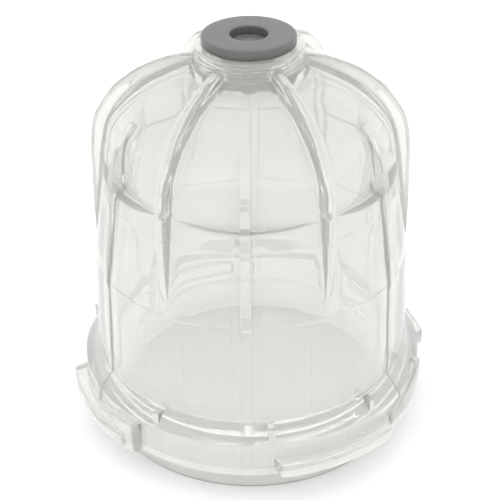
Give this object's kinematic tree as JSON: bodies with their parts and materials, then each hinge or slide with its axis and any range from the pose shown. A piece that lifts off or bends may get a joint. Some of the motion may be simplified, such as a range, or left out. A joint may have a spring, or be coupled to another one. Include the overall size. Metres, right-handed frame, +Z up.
{
  "type": "compressed air filter bowl",
  "caption": "Clear bayonet-lock bowl of a compressed-air filter, ribbed dome, with a flanged push-to-drain valve screwed into its neck.",
  "frame": {"origin": "centre of the bowl's mouth, in the plane of the mouth spigot's end face", "axes": "+Z up the bowl's axis, from the open mouth to the drain fitting; +X to the right and -Y to the front, where one narrow rib stands"},
  "size_m": [0.0954, 0.0954, 0.1067],
  "materials": {
    "clear_plastic": "clear polycarbonate, gloss",
    "grey_plastic": "dark grey moulded plastic, matt",
    "button_plastic": "darker grey moulded plastic, matt",
    "seal_rubber": "black nitrile rubber",
    "spring_steel": "drawn stainless wire",
    "washer_brass": "turned brass"
  },
  "bodies": {
    "bowl_body": {"bowl": "clear_plastic", "drain_bush": "grey_plastic", "bush_gasket": "seal_rubber", "return_spring": "spring_steel"},
    "valve": {"push_stem": "button_plastic", "valve_seal": "seal_rubber", "seal_washer": "washer_brass", "retaining_clip": "spring_steel"}
  },
  "joints": [
    {"name": "drain_push", "type": "slide", "parent": "bowl_body", "child": "valve", "axis": [0, 0, -1], "range_m": [0, 0.0018], "stiffness_N_per_m": 300, "springref_m": -0.0015, "deforming": ["return_spring"]}
  ]
}
